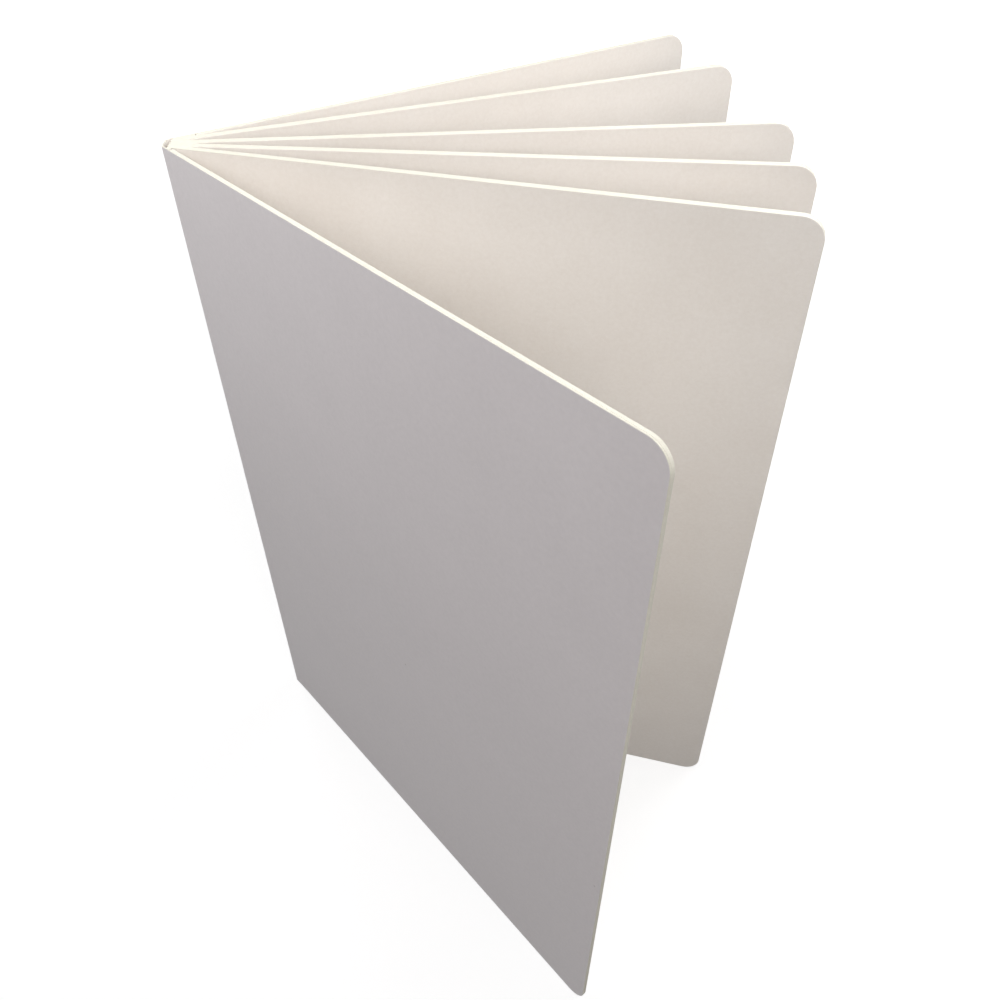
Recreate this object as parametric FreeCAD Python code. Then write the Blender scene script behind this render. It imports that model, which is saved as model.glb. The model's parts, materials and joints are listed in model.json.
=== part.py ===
import FreeCAD, Part
import math
import os

# A blank board book, standing upright on its lower edges with its boards fanned.
# Stiff folded sheets are glued back to back: each page is two plies thick, and the
# outermost plies are the linings of the two covers.  One thinner cover sheet wraps
# round the front lining, the spine and the back lining.
#
# Frame: +Z up, z = 0 is the surface that the book stands on.  The origin is the
# foot of the glued root, midway between the two outer pages.  +X runs out of the
# root between the pages, and the front cover lies towards -Y.  Millimetres.

# ---- driving dimensions ---------------------------------------------------------
height = 203.2            # all boards, cut level at head and foot
page_width = 146.6        # root line to fore edge
cover_overhang = 1.6      # covers past the pages at the fore edge, when shut
page_ply = 0.88           # one leaf of a folded sheet
cover_ply = 0.36          # the sheet wrapped round the outside
corner_radius = 5.4       # rounded fore corners, head and foot

# how far each board has swung from +X, in degrees, front to back
page_angles = (-15.4, -6.1, 3.0, 18.7)
front_angle_head = -47.4
front_angle_foot = -49.3  # the front cover is warped: its foot stands wider open
back_angle = 29.2

# the glued root and the hollow behind it
root_pitch = 1.34         # pages are pressed thinner than two plies at the root
spine_stand_off = 1.25    # from the folded root to the inside of the spine
front_fold_radius = 0.6   # outside of the crease between front cover and spine
back_bend_radius = 2.0    # outside of the softer bend at the back cover

# cover hinges: each is a line on the outside of the cover
front_hinge_run = 0.5     # from the root line, along the first page
back_hinge_run = 4.6      # from the root line, along the last page
shut_gap = 0.12           # shut cover to page
hinge_gap = 0.1           # cover to spine, along the outside
groove_spare_angle = 6.0  # degrees left in the hinge groove when the cover is shut

# ---- what follows from them -----------------------------------------------------
cover_thickness = page_ply + cover_ply
cover_reach = page_width + cover_overhang
page_count = len(page_angles)
fold_count = page_count + 1
folded_root_x = -page_ply
spine_inner_x = folded_root_x - spine_stand_off


def plan(x, y):
    return FreeCAD.Vector(x, y, 0)


def along(angle):
    """Unit vector in plan, angle in degrees from +X."""
    return plan(math.cos(math.radians(angle)), math.sin(math.radians(angle)))


def across(angle):
    """Unit vector in plan, square to along(angle) on its left."""
    return along(angle + 90)


def meet(point_a, way_a, point_b, way_b):
    """Where two lines cross in plan."""
    cross = way_a.x * way_b.y - way_a.y * way_b.x
    step = point_b - point_a
    return point_a + way_a * ((step.x * way_b.y - step.y * way_b.x) / cross)


def rounded_run(points, radii):
    """Edges through points, with each inner corner rounded to its radius."""
    edges = []
    start = points[0]
    for before, corner, after, radius in zip(points, points[1:], points[2:], radii):
        way_in = (corner - before).normalize()
        way_out = (after - corner).normalize()
        turn = way_in.getAngle(way_out)
        setback = radius * math.tan(turn / 2)
        arc_start = corner - way_in * setback
        arc_end = corner + way_out * setback
        inward = (way_out - way_in).normalize()
        centre = corner + inward * (radius / math.cos(turn / 2))
        edges.append(Part.makeLine(start, arc_start))
        edges.append(Part.Arc(arc_start, centre - inward * radius, arc_end).toShape())
        start = arc_end
    edges.append(Part.makeLine(start, points[-1]))
    return edges


def upright(edges):
    """Solid of full height over a closed outline in plan."""
    face = Part.Face(Part.Wire(Part.__sortEdges__(edges)))
    return face.extrude(FreeCAD.Vector(0, 0, height))


def upright_polygon(points):
    return upright(Part.makePolygon(points + points[:1]).Edges)


def board_outline(root, angle, length, first_depth, last_depth):
    """Board with rounded fore corners; depths are measured along across(angle)."""
    up = FreeCAD.Vector(0, 0, 1)
    out = along(angle)
    corners = [
        root,
        root + out * length,
        root + out * length + up * height,
        root + up * height,
    ]
    edges = rounded_run(corners, (corner_radius, corner_radius))
    edges.append(Part.makeLine(corners[-1], corners[0]))
    face = Part.Face(Part.Wire(edges))
    face.translate(across(angle) * first_depth)
    return face.extrude(across(angle) * (last_depth - first_depth))


def warped_board(root, head_angle, foot_angle, length, thickness):
    """Board whose foot has swung to foot_angle, ruled straight up to its head."""
    sections = []
    for angle, z in ((foot_angle, 0), (head_angle, height)):
        foot = FreeCAD.Vector(root.x, root.y, z)
        out = along(angle) * length
        depth = across(angle) * thickness
        points = [foot, foot + out, foot + out + depth, foot + depth]
        sections.append(Part.makePolygon(points + points[:1]))
    blank = Part.makeLoft(sections, True, True)
    # the edges that run through the board at its two fore corners
    fore_corners = []
    for edge in blank.Edges:
        middle = edge.CenterOfMass
        reach = (plan(middle.x, middle.y) - root).Length
        if abs(edge.Length - thickness) < 0.001 and reach > length / 2:
            fore_corners.append(edge)
    return blank.makeFillet(corner_radius, fore_corners)


# ---- plan layout ----------------------------------------------------------------
def page_root(index):
    """Middle of a page's thickness, on the root line x = 0."""
    return plan(0, (index - (page_count - 1) / 2) * root_pitch)


def fold_centre(index):
    return plan(0, (index - page_count / 2) * root_pitch)


# the covers' hinge points lie outside the first and the last page
shut_depth = page_ply + shut_gap + cover_thickness
first_angle = page_angles[0]
last_angle = page_angles[-1]
first_root = page_root(0)
last_root = page_root(page_count - 1)
front_hinge = first_root + along(first_angle) * front_hinge_run - across(first_angle) * shut_depth
back_hinge = last_root + along(last_angle) * back_hinge_run + across(last_angle) * shut_depth

# walls of the hinge grooves, leant back past where the shut cover's end comes to
front_wall = across(first_angle + groove_spare_angle)
back_wall = across(last_angle - groove_spare_angle) * -1
front_lip = front_hinge - along(front_angle_head) * hinge_gap
back_lip = back_hinge - along(back_angle) * hinge_gap


def spine_corners(depth):
    """Ends and corners of the wrapped sheet, at a depth below its outside."""
    spine_line = plan(spine_inner_x - cover_ply + depth, 0)
    front_line = front_hinge + across(front_angle_head) * depth
    back_line = back_hinge - across(back_angle) * depth
    return [
        meet(front_lip, front_wall, front_line, along(front_angle_head)),
        meet(spine_line, plan(0, 1), front_line, along(front_angle_head)),
        meet(spine_line, plan(0, 1), back_line, along(back_angle)),
        meet(back_lip, back_wall, back_line, along(back_angle)),
    ]


spine_outside = spine_corners(0)
spine_inside = spine_corners(cover_ply)
inside_radii = (front_fold_radius - cover_ply, back_bend_radius - cover_ply)
inside_edges = rounded_run(spine_inside, inside_radii)

# each groove wall, where it runs into the middle of the nearest page
front_wall_end = meet(front_lip, front_wall, first_root, along(first_angle))
back_wall_end = meet(back_lip, back_wall, last_root, along(last_angle))


# ---- pieces ---------------------------------------------------------------------
def make_front_cover():
    length = cover_reach - front_hinge_run
    return warped_board(front_hinge, front_angle_head, front_angle_foot, length, cover_thickness)


def make_back_cover():
    length = cover_reach - back_hinge_run
    return board_outline(back_hinge, back_angle, length, -cover_thickness, 0)


def make_spine():
    """The strip of cover sheet between the two hinge lines."""
    outside_edges = rounded_run(spine_outside, (front_fold_radius, back_bend_radius))
    ends = [
        Part.makeLine(spine_outside[0], spine_inside[0]),
        Part.makeLine(spine_outside[-1], spine_inside[-1]),
    ]
    return upright(outside_edges + inside_edges + ends)


def lining_foot(lip, wall_end, page_middle, fold_middle, hinge, cover_angle):
    """The stub of a lining between its fold and its hinge, glued inside the spine sheet."""
    glued = meet(fold_middle, across(cover_angle), hinge, along(cover_angle))
    return upright_polygon([lip, wall_end, page_middle, fold_middle, glued])


def make_root():
    """The folds of the sheets and the two lining stubs, as far as the spine sheet."""
    centres = [fold_centre(index) for index in range(fold_count)]
    folds = [Part.makeCylinder(page_ply, height, centre) for centre in centres]
    front_foot = lining_foot(
        spine_inside[0], front_wall_end, first_root, centres[0], front_hinge, front_angle_head
    )
    back_foot = lining_foot(
        spine_inside[-1], back_wall_end, last_root, centres[-1], back_hinge, back_angle
    )
    page_side = [
        Part.makeLine(spine_inside[-1], back_wall_end),
        Part.makeLine(back_wall_end, front_wall_end),
        Part.makeLine(front_wall_end, spine_inside[0]),
    ]
    within = upright(inside_edges + page_side)
    return folds[0].multiFuse(folds[1:] + [front_foot, back_foot]).common(within)


def make_page_block():
    """Every page and the root that joins them, as one glued block."""
    pages = [
        board_outline(page_root(index), angle, page_width, -page_ply, page_ply)
        for index, angle in enumerate(page_angles)
    ]
    return make_root().multiFuse(pages).removeSplitter()


nodes = {
    "front_cover": make_front_cover(),
    "back_cover": make_back_cover(),
    "spine": make_spine(),
    "page_block": make_page_block(),
}

os.makedirs("parts", exist_ok=True)
for name, shape in nodes.items():
    solids = shape.Solids
    assert len(solids) == 1, f"{name} has {len(solids)} solids"
    solid = solids[0]
    assert solid.isValid(), f"{name} is not valid"
    solid.exportStep(f"parts/{name}.step")
    box = solid.BoundBox
    print(f"{name}: volume {solid.Volume:.0f} mm3, {len(solid.Faces)} faces, "
          f"x {box.XMin:.2f} to {box.XMax:.2f}, y {box.YMin:.2f} to {box.YMax:.2f}, "
          f"z {box.ZMin:.2f} to {box.ZMax:.2f}")

for name, hinge in (("front", front_hinge), ("back", back_hinge)):
    print(f"{name} cover hinge at x {hinge.x:.3f}, y {hinge.y:.3f}")
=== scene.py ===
import json
import math

import bmesh
import bpy
from mathutils import Matrix, Vector


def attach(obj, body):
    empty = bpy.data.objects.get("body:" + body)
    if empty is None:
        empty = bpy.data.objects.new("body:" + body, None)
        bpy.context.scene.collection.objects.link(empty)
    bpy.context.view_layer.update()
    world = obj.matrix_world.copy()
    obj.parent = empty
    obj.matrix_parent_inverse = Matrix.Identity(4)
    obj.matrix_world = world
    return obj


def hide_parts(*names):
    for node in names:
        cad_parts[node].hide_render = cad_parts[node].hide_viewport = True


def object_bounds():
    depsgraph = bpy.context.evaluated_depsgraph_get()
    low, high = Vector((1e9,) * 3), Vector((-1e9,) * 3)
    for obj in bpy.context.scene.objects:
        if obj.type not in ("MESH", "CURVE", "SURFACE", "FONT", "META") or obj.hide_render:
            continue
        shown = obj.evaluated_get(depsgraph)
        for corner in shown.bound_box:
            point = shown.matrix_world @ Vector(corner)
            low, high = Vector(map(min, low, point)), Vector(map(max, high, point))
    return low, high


# A blank board book, standing fanned on its lower edges.  Stiff folded sheets are
# glued back to back, so that each page is two plies thick, and one thinner cover
# sheet wraps round the front lining, the spine and the back lining.
# Sizes below are in metres and angles in degrees, as in the CAD source.

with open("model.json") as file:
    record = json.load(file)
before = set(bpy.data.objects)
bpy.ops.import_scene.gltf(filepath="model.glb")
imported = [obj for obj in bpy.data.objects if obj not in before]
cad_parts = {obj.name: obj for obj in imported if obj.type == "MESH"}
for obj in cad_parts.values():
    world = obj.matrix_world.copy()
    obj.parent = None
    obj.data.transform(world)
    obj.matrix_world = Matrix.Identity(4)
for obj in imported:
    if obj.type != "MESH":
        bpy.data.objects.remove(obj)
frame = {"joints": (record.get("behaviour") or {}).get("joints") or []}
cad_low, cad_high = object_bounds()

# ---- sizes of the boards ----------------------------------------------------------
HEIGHT = cad_high.z - cad_low.z
PAGE_WIDTH = 0.1466
COVER_OVERHANG = 0.0016
PAGE_PLY = 0.00088
COVER_PLY = 0.00036
COVER_THICKNESS = PAGE_PLY + COVER_PLY
CORNER_RADIUS = 0.0054
PAGE_ANGLES = (-15.4, -6.1, 3.0, 18.7)
PAGE_COUNT = len(PAGE_ANGLES)
FRONT_ANGLE_HEAD = -47.4
FRONT_ANGLE_FOOT = -49.3
BACK_ANGLE = 29.2

# ---- sizes of the glued root and the wrapped spine --------------------------------
ROOT_PITCH = 0.00134
SPINE_INNER_X = -0.00213
FRONT_FOLD_RADIUS = 0.0006
BACK_BEND_RADIUS = 0.002
FRONT_HINGE_RUN = 0.0005
BACK_HINGE_RUN = 0.0046
GROOVE_SPARE_ANGLE = 6.0
ROOT_FOLD_ROUND = 0.0006  # outside of each folded sheet, behind the root line
ROOT_REACH = 0.01         # nearer to the root line than this, pages still touch
LIP_GAP = 0.00001         # spine lip to cover, along the outside

# ---- sizes of the cut edges -------------------------------------------------------
EDGE_ROUND = 0.00016      # the die leaves the rims of a board soft
SHEET_EDGE_ROUND = 0.00008
SEAM_WIDTH = 0.00016      # the glue line between two plies, across its groove
SEAM_DEPTH = 0.00007
SEAM_START = 0.003        # a page's glue line is sunk from here outwards

# ---- how finely round places are divided ------------------------------------------
CORNER_STEPS = 22
RIM_STEPS = 3
SEAM_STEPS = 2
SHEET_EDGE_STEPS = 2
SPINE_FOLD_STEPS = 12
ROOT_FOLD_STEPS = 8
BOARD_ROWS = 16           # bands across a cover, so that it can take its warp
BOARD_COLUMNS = 12

# ---- how near counts as the same --------------------------------------------------
SAME_PLACE = 1e-6
MERGE_DISTANCE = 1e-7
SHARP = 1.0               # radians between faces; a cut corner is sharper than this
FACING = 0.9              # share of a normal along a direction: faces that way
FLAT_ON = 0.98            # the same for a page's faces, without their soft rims
CUT_END = 0.3             # the same upright, for a cut end with its soft rims
STANDING = 0.5            # the same upright, below which a face stands
FORE_REACH = 0.9          # share of a page's width, beyond which its fore edge lies
PLY_EDGE = 1.5            # plies; only an edge across one ply is shorter
LEAF_AREA = 0.002         # square metres; only a whole side of a leaf is larger

HINGES = {joint["name"]: Vector(joint["pos_m"]) for joint in frame["joints"]}
FRONT_HINGE = HINGES["front_cover_hinge"]
BACK_HINGE = HINGES["back_cover_hinge"]


# ---- directions and points in plan ------------------------------------------------
def along(angle):
    return Vector((math.cos(math.radians(angle)), math.sin(math.radians(angle)), 0))


def across(angle):
    return along(angle + 90)


def meet(point_a, way_a, point_b, way_b):
    """Where two lines cross in plan."""
    cross = way_a.x * way_b.y - way_a.y * way_b.x
    step = point_b - point_a
    return point_a + way_a * ((step.x * way_b.y - step.y * way_b.x) / cross)


def page_root(page):
    """Middle of a page's thickness on the root line."""
    return Vector((0, (page - (PAGE_COUNT - 1) / 2) * ROOT_PITCH, 0))


def spine_line(depth):
    """Front lip, front fold, back bend and back lip, at a depth in the cover sheet."""
    face = Vector((SPINE_INNER_X - COVER_PLY + depth, 0, 0))
    front = FRONT_HINGE + across(FRONT_ANGLE_HEAD) * depth
    back = BACK_HINGE - across(BACK_ANGLE) * depth
    up_page = Vector((0, 1, 0))
    return [
        meet(FRONT_LIP, FRONT_WALL, front, along(FRONT_ANGLE_HEAD)),
        meet(face, up_page, front, along(FRONT_ANGLE_HEAD)),
        meet(face, up_page, back, along(BACK_ANGLE)),
        meet(BACK_LIP, BACK_WALL, back, along(BACK_ANGLE)),
    ]


# the hinge grooves: each wall leans back from the cover's end
FRONT_WALL = across(PAGE_ANGLES[0] + GROOVE_SPARE_ANGLE)
BACK_WALL = -across(PAGE_ANGLES[-1] - GROOVE_SPARE_ANGLE)
FRONT_LIP = FRONT_HINGE - along(FRONT_ANGLE_HEAD) * LIP_GAP
BACK_LIP = BACK_HINGE - along(BACK_ANGLE) * LIP_GAP


# ---- nodes ------------------------------------------------------------------------
def linear(code):
    """Linear colour of an sRGB hex value."""
    parts = [int(code[start:start + 2], 16) / 255 for start in (1, 3, 5)]
    parts = [c / 12.92 if c <= 0.04045 else ((c + 0.055) / 1.055) ** 2.4 for c in parts]
    return (*parts, 1)


def add_node(tree, kind, links=None, **settings):
    """Adds a node; links gives each input a value or another node's output."""
    node = tree.nodes.new("ShaderNode" + kind)
    for name, value in settings.items():
        setattr(node, name, value)
    for name, source in (links or {}).items():
        if isinstance(source, bpy.types.NodeSocket):
            tree.links.new(source, node.inputs[name])
        else:
            node.inputs[name].default_value = source
    return node


def new_material(name):
    material = bpy.data.materials.new(name)
    material.use_nodes = True
    material.node_tree.nodes.clear()
    return material, material.node_tree


def paperboard(name, light, dark, roughness, specular, tooth, tooth_depth, grain):
    """White board: soft clouding from the pulp, and a fine tooth in its surface."""
    material, tree = new_material(name)
    place = add_node(tree, "TexCoord").outputs["Object"]
    # uneven pulp clouds the white over 20 to 30 mm
    cloud = add_node(tree, "TexNoise", {
        "Vector": place, "Scale": 1 / 0.028, "Detail": 3.0, "Roughness": 0.55})
    # fibre flocks, really 0.3 mm, drawn at 0.5 to 1.2 mm so that they show
    flock = add_node(tree, "TexNoise", {
        "Vector": place, "Scale": 1 / grain, "Detail": 4.0, "Roughness": 0.6})
    both = add_node(tree, "Math", {
        0: cloud.outputs["Fac"], 1: flock.outputs["Fac"]}, operation="ADD")
    share = add_node(tree, "MapRange", {
        "Value": both.outputs[0], "From Min": 0.72, "From Max": 1.28})
    white = add_node(tree, "Mix", {
        "Factor": share.outputs[0], "A": linear(dark), "B": linear(light)},
        data_type="RGBA")
    # specks of bark and grit, 0.6 mm across, a few on each face
    grit = add_node(tree, "TexVoronoi", {"Vector": place, "Scale": 1 / 0.018})
    spot = add_node(tree, "MapRange", {
        "Value": grit.outputs["Distance"], "From Min": 0.01, "From Max": 0.022,
        "To Min": 0.35, "To Max": 0.0})
    speckled = add_node(tree, "Mix", {
        "Factor": spot.outputs[0], "A": white.outputs["Result"], "B": linear("#8C837A")},
        data_type="RGBA")
    dull = add_node(tree, "MapRange", {
        "Value": cloud.outputs["Fac"], "From Min": 0.3, "From Max": 0.7,
        "To Min": roughness[0], "To Max": roughness[1]})
    fibre = add_node(tree, "TexNoise", {
        "Vector": place, "Scale": 1 / tooth, "Detail": 2.0, "Roughness": 0.6})
    rise = add_node(tree, "Bump", {
        "Strength": 1.0, "Distance": tooth_depth, "Height": fibre.outputs["Fac"]})
    # boards dry a little uneven, over 60 mm or so
    wave = add_node(tree, "TexNoise", {
        "Vector": place, "Scale": 1 / 0.06, "Detail": 1.0})
    lie = add_node(tree, "Bump", {
        "Strength": 1.0, "Distance": 0.0007, "Height": wave.outputs["Fac"],
        "Normal": rise.outputs["Normal"]})
    shader = add_node(tree, "BsdfPrincipled", {
        "Base Color": speckled.outputs["Result"], "Roughness": dull.outputs[0],
        "IOR": 1.5, "Specular IOR Level": specular, "Normal": lie.outputs["Normal"]})
    add_node(tree, "OutputMaterial", {"Surface": shader.outputs[0]})
    return material


# Clay-coated, calendered board: the outside of the cover sheet.  Cool white with a
# satin sheen that softens whatever it mirrors; the coating hides most of the tooth.
COATED_OUTSIDE = paperboard(
    "clay_coated_cover_board", "#ECE6E7", "#E6E0E1", (0.38, 0.44), 0.2,
    tooth=0.0009, tooth_depth=0.00001, grain=0.0012)
# Uncoated, machine-finished board: linings and pages.  Warm white and matt, with the
# fine tooth of pressed fibres.
UNCOATED_LEAF = paperboard(
    "uncoated_page_board", "#F0EBE5", "#EAE4DD", (0.62, 0.72), 0.35,
    tooth=0.0007, tooth_depth=0.00002, grain=0.0009)
# Die-cut edge of the same board: raw cream fibre, matt, slightly furred.
CUT_EDGE = paperboard(
    "die_cut_board_edge", "#E4E1D5", "#DCD9CC", (0.8, 0.9), 0.25,
    tooth=0.0004, tooth_depth=0.00004, grain=0.0005)

OUTSIDE, INSIDE, EDGE = 0, 1, 2


# ---- making boards ----------------------------------------------------------------
def finish_piece(bm, name, body, node):
    """Makes the object of a bmesh, stands it for its CAD node and sets it riding."""
    mesh = bpy.data.meshes.new(name)
    bm.to_mesh(mesh)
    bm.free()
    for material in (COATED_OUTSIDE, UNCOATED_LEAF, CUT_EDGE):
        mesh.materials.append(material)
    piece = bpy.data.objects.new(name, mesh)
    bpy.context.scene.collection.objects.link(piece)
    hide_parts(node)
    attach(piece, body)
    return piece


def rounded(bm, edges, offset, steps):
    return bmesh.ops.bevel(
        bm, geom=edges, offset=offset, segments=steps, profile=0.5,
        affect="EDGES", material=-1)


def cut_everywhere(bm, point, normal):
    bmesh.ops.bisect_plane(
        bm, geom=bm.verts[:] + bm.edges[:] + bm.faces[:], dist=MERGE_DISTANCE,
        plane_co=point, plane_no=normal)


def cover_board(length):
    """A cover lying flat: x from its hinge, y into it from outside, z from its foot."""
    bm = bmesh.new()
    size = Vector((length, COVER_THICKNESS, HEIGHT))
    bmesh.ops.create_cube(bm, size=1, matrix=Matrix.Diagonal(size.to_4d()))
    bmesh.ops.translate(bm, verts=bm.verts[:], vec=size / 2)
    fore = [e for e in bm.edges if all(v.co.x > length / 2 for v in e.verts)
            and abs(e.verts[0].co.y - e.verts[1].co.y) > PAGE_PLY]
    rounded(bm, fore, CORNER_RADIUS, CORNER_STEPS)
    # the glue line between the lining and the cover sheet, all round the edge
    for depth in (-0.5, 0, 0.5):
        cut_everywhere(bm, Vector((0, COVER_PLY + depth * SEAM_WIDTH, 0)), Vector((0, 1, 0)))
    bm.normal_update()
    seam = [v for v in bm.verts if abs(v.co.y - COVER_PLY) < SAME_PLACE]
    inward = [(v, -v.normal * SEAM_DEPTH) for v in seam]
    for vert, step in inward:
        vert.co += step
    # soft rims, except along the hinge where the outside runs on without a break
    rims = []
    for edge in bm.edges:
        ends = [v.co for v in edge.verts]
        hinge_line = all(end.x < SAME_PLACE and end.y < SAME_PLACE for end in ends)
        on_face = all(abs(end.y) < SAME_PLACE for end in ends) or all(
            abs(end.y - COVER_THICKNESS) < SAME_PLACE for end in ends)
        if on_face and not hinge_line and edge.calc_face_angle(0) > SHARP:
            rims.append(edge)
    rounded(bm, rims, EDGE_ROUND, RIM_STEPS)
    for row in range(1, BOARD_ROWS):
        cut_everywhere(bm, Vector((0, 0, HEIGHT * row / BOARD_ROWS)), Vector((0, 0, 1)))
    for column in range(1, BOARD_COLUMNS):
        cut_everywhere(bm, Vector((length * column / BOARD_COLUMNS, 0, 0)), Vector((1, 0, 0)))
    bm.normal_update()
    for face in bm.faces:
        if face.normal.y < -FACING:
            face.material_index = OUTSIDE
        elif face.normal.y > FACING:
            face.material_index = INSIDE
        else:
            face.material_index = EDGE
    return bm


def stand(bm, hinge, foot_angle, head_angle, hand):
    """Stands a flat cover at its hinge, its foot and head swung to their own angles."""
    for vert in bm.verts:
        reach, depth, z = vert.co
        foot = along(foot_angle) * reach + across(foot_angle) * depth * hand
        head = along(head_angle) * reach + across(head_angle) * depth * hand
        vert.co = hinge + foot.lerp(head, z / HEIGHT) + Vector((0, 0, z))
    if hand < 0:
        bmesh.ops.reverse_faces(bm, faces=bm.faces[:])


def make_front_cover():
    bm = cover_board(PAGE_WIDTH + COVER_OVERHANG - FRONT_HINGE_RUN)
    stand(bm, FRONT_HINGE, FRONT_ANGLE_FOOT, FRONT_ANGLE_HEAD, 1)
    finish_piece(bm, "front_cover_board", "front_cover", "front_cover")


def make_back_cover():
    bm = cover_board(PAGE_WIDTH + COVER_OVERHANG - BACK_HINGE_RUN)
    stand(bm, BACK_HINGE, BACK_ANGLE, BACK_ANGLE, -1)
    finish_piece(bm, "back_cover_board", "back_cover", "back_cover")


def raise_walls(bm, geom):
    """Extrudes straight up to the head of the book."""
    grown = bmesh.ops.extrude_face_region(bm, geom=geom)["geom"]
    verts = [part for part in grown if isinstance(part, bmesh.types.BMVert)]
    bmesh.ops.translate(bm, verts=verts, vec=Vector((0, 0, HEIGHT)))


def same_upright(vert, point):
    """Whether a vertex stands on the upright line through a point in plan."""
    return (vert.co - point).xy.length < SAME_PLACE


def make_spine():
    """The strip of cover sheet between the hinges: creased in front, bent behind."""
    bm = bmesh.new()
    outline = spine_line(0) + spine_line(COVER_PLY)[::-1]
    bm.faces.new([bm.verts.new(point) for point in outline])
    raise_walls(bm, bm.faces[:])
    bmesh.ops.recalc_face_normals(bm, faces=bm.faces[:])
    within = spine_line(COVER_PLY)
    for face in bm.faces:
        inner = all(any(same_upright(v, point) for point in within) for v in face.verts)
        face.material_index = INSIDE if inner else OUTSIDE
    for corner, radius in ((1, FRONT_FOLD_RADIUS), (2, BACK_BEND_RADIUS)):
        for depth, own in ((0, radius), (COVER_PLY, radius - COVER_PLY)):
            before, point, after = spine_line(depth)[corner - 1:corner + 2]
            turn = (point - before).angle(after - point)
            upright = [e for e in bm.edges if all(same_upright(v, point) for v in e.verts)]
            rounded(bm, upright, own * math.tan(turn / 2), SPINE_FOLD_STEPS)
    rims = [e for e in bm.edges if e.calc_face_angle(0) > SHARP
            and abs(e.verts[0].co.z - e.verts[1].co.z) < MERGE_DISTANCE]
    rounded(bm, rims, SHEET_EDGE_ROUND, SHEET_EDGE_STEPS)
    # the cut ends of the strip, and their soft rims
    for face in bm.faces:
        if abs(face.normal.z) > CUT_END:
            face.material_index = EDGE
    finish_piece(bm, "spine_sheet", "book_block", "spine")


def folded_sheets():
    """Plan outlines of the folded sheets, each between the glue lines beside it.

    Also gives each sheet's apex: the outermost point of its fold, behind the root line.
    """
    half_pitch = ROOT_PITCH / 2
    valley_x = -math.sqrt(PAGE_PLY ** 2 - half_pitch ** 2)
    slope = Vector((-half_pitch, -valley_x, 0)).normalized()
    spine_inside = spine_line(COVER_PLY)
    fore, low, high, root, valley = [], [], [], [], []
    for page, angle in enumerate(PAGE_ANGLES):
        tip = page_root(page) + along(angle) * PAGE_WIDTH
        fore.append(tip)
        low.append(tip - across(angle) * PAGE_PLY)
        high.append(tip + across(angle) * PAGE_PLY)
        root.append(page_root(page))
        valley.append(Vector((valley_x, page_root(page).y, 0)))
    mirrored = Vector((slope.x, -slope.y, 0))
    wall_front = meet(FRONT_LIP, FRONT_WALL, low[0], along(PAGE_ANGLES[0]))
    wall_back = meet(BACK_LIP, BACK_WALL, high[-1], along(PAGE_ANGLES[-1]))
    front_apex = meet(valley[0], mirrored, spine_inside[0], along(FRONT_ANGLE_HEAD))
    back_apex = meet(valley[-1], slope, spine_inside[-1], along(BACK_ANGLE))
    sheets = [[fore[0], low[0], wall_front, spine_inside[0], front_apex, valley[0], root[0]]]
    apexes = [front_apex, back_apex]
    for page in range(1, PAGE_COUNT):
        before = page - 1
        apex = meet(valley[before], slope, valley[page], mirrored)
        parting = meet(
            high[before], along(PAGE_ANGLES[before]), low[page], along(PAGE_ANGLES[page]))
        apexes.append(apex)
        sheets.append([
            fore[before], root[before], valley[before], apex, valley[page],
            root[page], fore[page], low[page], parting, high[before]])
    sheets.append([
        fore[-1], root[-1], valley[-1], back_apex, spine_inside[-1], wall_back, high[-1]])
    return sheets, apexes


def in_middle(vert, page):
    """Whether a vertex lies in the middle of a page's thickness, where its plies meet."""
    off_middle = (vert.co - page_root(page)).dot(across(PAGE_ANGLES[page]))
    return abs(off_middle) < SAME_PLACE


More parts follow.
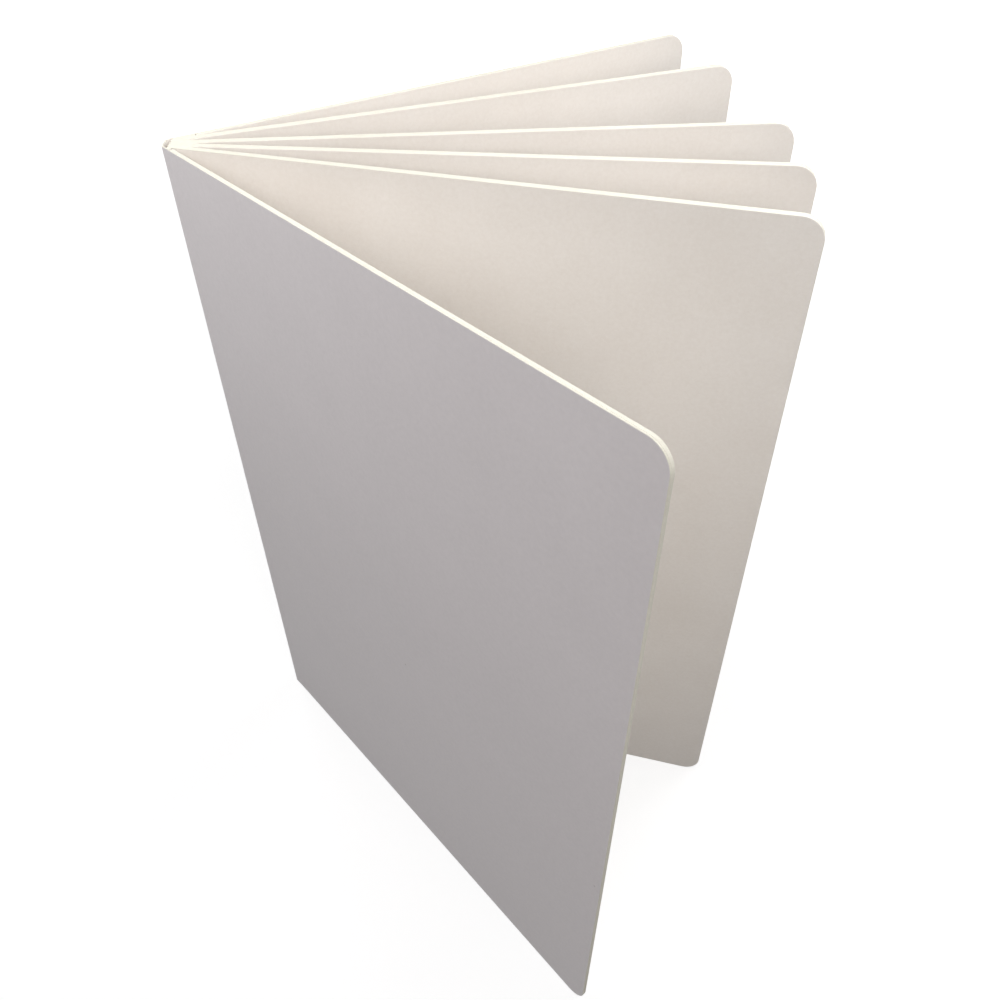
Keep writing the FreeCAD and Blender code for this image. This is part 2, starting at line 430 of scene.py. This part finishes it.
def make_pages():
    """The pages and their folded root, one glued block with its glue lines showing."""
    bm = bmesh.new()
    sheets, apexes = folded_sheets()
    for outline in sheets:
        bm.faces.new([bm.verts.new(point) for point in outline])
    bmesh.ops.remove_doubles(bm, verts=bm.verts[:], dist=MERGE_DISTANCE)
    folds = [v for v in bm.verts if any((v.co - apex).length < SAME_PLACE for apex in apexes)]
    bmesh.ops.bevel(
        bm, geom=folds, offset=ROOT_FOLD_ROUND, segments=ROOT_FOLD_STEPS, profile=0.5,
        affect="VERTICES", material=-1)
    raise_walls(bm, bm.faces[:])
    bmesh.ops.recalc_face_normals(bm, faces=bm.faces[:])
    # the level edges across each page's ply, at its fore corners
    fore = [e for e in bm.edges if abs(e.verts[0].co.z - e.verts[1].co.z) < SAME_PLACE
            and all(v.co.xy.length > PAGE_WIDTH * FORE_REACH for v in e.verts)
            and (e.verts[0].co - e.verts[1].co).length < PAGE_PLY * PLY_EDGE]
    rounded(bm, fore, CORNER_RADIUS, CORNER_STEPS)
    # the glue lines: from the valley between two folds, out along the page and round it
    glue = []
    for edge in bm.edges:
        middle = (edge.verts[0].co + edge.verts[1].co) / 2
        for page in range(PAGE_COUNT):
            if all(in_middle(v, page) for v in edge.verts) and middle.xy.length > ROOT_REACH:
                glue.append(edge)
    rounded(bm, glue, SEAM_WIDTH / 2, SEAM_STEPS)
    bm.normal_update()
    inward = []
    for vert in bm.verts:
        for page in range(PAGE_COUNT):
            if in_middle(vert, page) and vert.co.xy.length > SEAM_START:
                inward.append((vert, -vert.normal * SEAM_DEPTH))
    for vert, step in inward:
        vert.co += step
    bm.normal_update()
    for face in bm.faces:
        middle = face.calc_center_median()
        flat = [abs(face.normal.dot(across(angle))) for angle in PAGE_ANGLES]
        upright = abs(face.normal.z) < STANDING
        in_root = middle.xy.length < ROOT_REACH
        leaf = upright and (in_root or max(flat) > FLAT_ON)
        face.material_index = INSIDE if leaf else EDGE
    rims = [e for e in bm.edges if e.is_convex and e.calc_face_angle(0) > SHARP and (
        any(f.calc_area() > LEAF_AREA for f in e.link_faces))]
    rounded(bm, rims, EDGE_ROUND, RIM_STEPS)
    finish_piece(bm, "page_boards", "book_block", "page_block")


make_front_cover()
make_back_cover()
make_spine()
make_pages()

# ---- floor ------------------------------------------------------------------------
# Painted studio floor: pale and matt.  What the camera sees is lifted to near white
# where the floor is fully lit, and the shadow stays.
floor_paint, tree = new_material("matt_studio_floor")
path = add_node(tree, "LightPath")
mirrored = add_node(tree, "Math", {
    0: path.outputs["Is Glossy Ray"], 1: path.outputs["Is Transmission Ray"]},
    operation="MAXIMUM")
seen = add_node(tree, "Math", {
    0: path.outputs["Is Camera Ray"], 1: mirrored.outputs[0]}, operation="MAXIMUM")
paint = add_node(tree, "Mix", {
    "Factor": seen.outputs[0], "A": linear("#303030"), "B": linear("#ABABAB")},
    data_type="RGBA")
matt = add_node(tree, "BsdfDiffuse", {"Color": paint.outputs["Result"]})
# the lift grows away from the book, where the lamps reach less far
away = add_node(tree, "VectorMath", {
    0: add_node(tree, "TexCoord").outputs["Object"]}, operation="LENGTH")
pale = add_node(tree, "MapRange", {
    "Value": away.outputs["Value"], "From Min": 0.12, "From Max": 0.8,
    "To Min": 0.67, "To Max": 1.0})
lift = add_node(tree, "Math", {0: seen.outputs[0], 1: pale.outputs[0]}, operation="MULTIPLY")
glow = add_node(tree, "Emission", {"Color": linear("#FFFFFF"), "Strength": lift.outputs[0]})
floor_surface = add_node(tree, "AddShader", {0: matt.outputs[0], 1: glow.outputs[0]})
add_node(tree, "OutputMaterial", {"Surface": floor_surface.outputs[0]})

FLOOR_REACH = 6           # metres from the origin to each side

bm = bmesh.new()
bmesh.ops.create_grid(bm, x_segments=1, y_segments=1, size=FLOOR_REACH)
bmesh.ops.translate(bm, verts=bm.verts[:], vec=Vector((0, 0, cad_low.z)))
floor_mesh = bpy.data.meshes.new("studio_floor")
bm.to_mesh(floor_mesh)
bm.free()
floor_mesh.materials.append(floor_paint)
floor = bpy.data.objects.new("studio_floor", floor_mesh)
bpy.context.scene.collection.objects.link(floor)

# ---- light ------------------------------------------------------------------------
world = bpy.data.worlds.new("studio_room")
world.use_nodes = True
tree = world.node_tree
tree.nodes.clear()
path = add_node(tree, "LightPath")
room = add_node(tree, "Background", {"Color": linear("#FFFFFF"), "Strength": 0.1})
backdrop = add_node(tree, "Background", {"Color": linear("#FFFFFF"), "Strength": 1.0})
choice = add_node(tree, "MixShader", {"Fac": path.outputs["Is Camera Ray"]})
tree.links.new(room.outputs[0], choice.inputs[1])
tree.links.new(backdrop.outputs[0], choice.inputs[2])
add_node(tree, "OutputWorld", {"Surface": choice.outputs[0]})
bpy.context.scene.world = world


def softbox(name, azimuth, elevation, distance, size, power, colour):
    """A square soft light aimed at the middle of the book."""
    lamp = bpy.data.lights.new(name, "AREA")
    lamp.size = size
    lamp.energy = power
    lamp.color = linear(colour)[:3]
    holder = bpy.data.objects.new(name, lamp)
    bpy.context.scene.collection.objects.link(holder)
    side = along(azimuth) * math.cos(math.radians(elevation))
    to_light = side + Vector((0, 0, math.sin(math.radians(elevation))))
    middle = (cad_low + cad_high) / 2
    holder.location = middle + to_light * distance
    holder.visible_camera = False
    holder.rotation_mode = "QUATERNION"
    holder.rotation_quaternion = to_light.to_track_quat("Z", "Y")


# azimuth and elevation, distance and size in metres, power in watts
softbox("front_softbox", -80, 30, 1.2, 0.7, 4.45, "#FFFBF9")
softbox("side_softbox", -70, 40, 0.7, 0.45, 1.08, "#FFFFFF")
softbox("fore_softbox", 40, 20, 1.2, 0.7, 3.6, "#FFFFFF")
softbox("back_softbox", 125, 18, 1.2, 0.7, 5.2, "#FFFFFF")
softbox("spine_softbox", 180, 40, 0.7, 0.45, 0.78, "#FAFCFF")
softbox("head_softbox", -170, 60, 0.3, 0.2, 0.28, "#FFFFFF")
softbox("page_softbox", 0, 60, 0.3, 0.2, 0.41, "#FFFFFF")

# ---- camera -----------------------------------------------------------------------
CAMERA_PLACE = Vector((0.074549, -0.218364, 0.291793))
CAMERA_DIP = math.radians(42.865)
CAMERA_ROLL = math.radians(-0.693)
LENS_MM = 34.256
SENSOR_MM = 36

camera = bpy.data.cameras.new("camera")
camera.lens = LENS_MM
camera.sensor_width = SENSOR_MM
camera.clip_start = 0.01
forward = Vector((0, math.cos(CAMERA_DIP), -math.sin(CAMERA_DIP)))
level = Vector((1, 0, 0))
upward = level.cross(forward)
right = level * math.cos(CAMERA_ROLL) + upward * math.sin(CAMERA_ROLL)
top = upward * math.cos(CAMERA_ROLL) - level * math.sin(CAMERA_ROLL)
turned = Matrix((right, top, -forward)).transposed().to_4x4()
viewer = bpy.data.objects.new("camera", camera)
viewer.matrix_world = Matrix.Translation(CAMERA_PLACE) @ turned
bpy.context.scene.collection.objects.link(viewer)
bpy.context.scene.camera = viewer
bpy.context.scene.view_settings.view_transform = "Standard"
